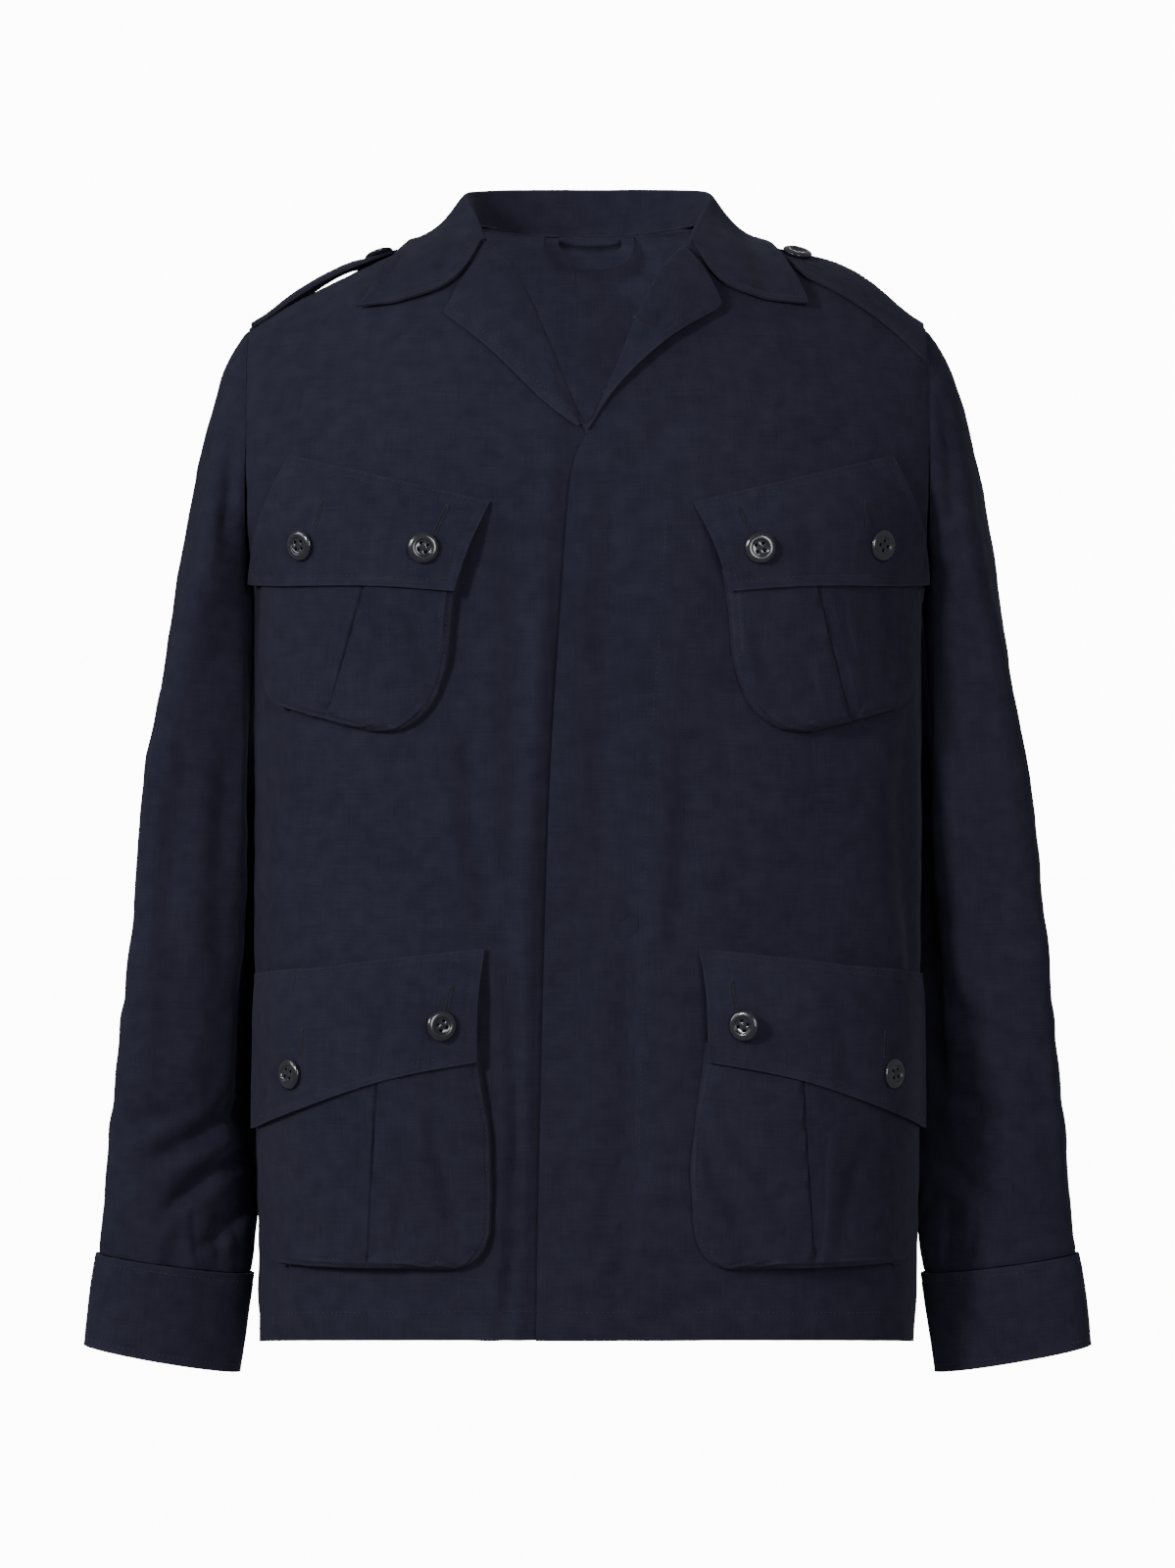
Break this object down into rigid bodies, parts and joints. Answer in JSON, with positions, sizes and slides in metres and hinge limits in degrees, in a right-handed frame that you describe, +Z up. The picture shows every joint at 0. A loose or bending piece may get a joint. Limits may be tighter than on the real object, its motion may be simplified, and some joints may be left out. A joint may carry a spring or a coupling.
{
  "type": "jungle jacket",
  "caption": "Hip-length navy jungle jacket in its worn, hollow shape, with notched collar, concealed front fastening, bellows pockets under buttoned flaps, shoulder straps and buttoned-up cuffs",
  "frame": {"origin": "On the body's centre line between the shoulders, level with the neck seam at the nape, where the wearer's shoulders hold it up", "axes": "+Z is up the body from hem to collar, -Y is the way the front faces, +X is the wearer's left"},
  "size_m": [0.658, 0.263, 0.7805],
  "materials": {
    "navy_cloth": "matt plain-woven navy cloth with slight slubs and a faint sheen",
    "dark_button": "glossy near-black four-hole button with a raised rim"
  },
  "bodies": {
    "root": {"back": "navy_cloth", "front_left": "navy_cloth", "front_right": "navy_cloth", "collar": "navy_cloth", "lapel_left": "navy_cloth", "lapel_right": "navy_cloth", "sleeve_left": "navy_cloth", "sleeve_right": "navy_cloth", "cuff_left": "navy_cloth", "cuff_right": "navy_cloth", "chest_pocket_left": "navy_cloth", "chest_pocket_right": "navy_cloth", "chest_flap_left": "navy_cloth", "chest_flap_right": "navy_cloth", "hip_pocket_left": "navy_cloth", "hip_pocket_right": "navy_cloth", "hip_flap_left": "navy_cloth", "hip_flap_right": "navy_cloth", "epaulette_left": "navy_cloth", "epaulette_right": "navy_cloth", "hanger_loop": "navy_cloth", "chest_button_inner_left": "dark_button", "chest_button_inner_right": "dark_button", "chest_button_outer_left": "dark_button", "chest_button_outer_right": "dark_button", "hip_button_inner_left": "dark_button", "hip_button_inner_right": "dark_button", "hip_button_outer_left": "dark_button", "hip_button_outer_right": "dark_button", "epaulette_button_left": "dark_button", "epaulette_button_right": "dark_button"}
  },
  "joints": []
}
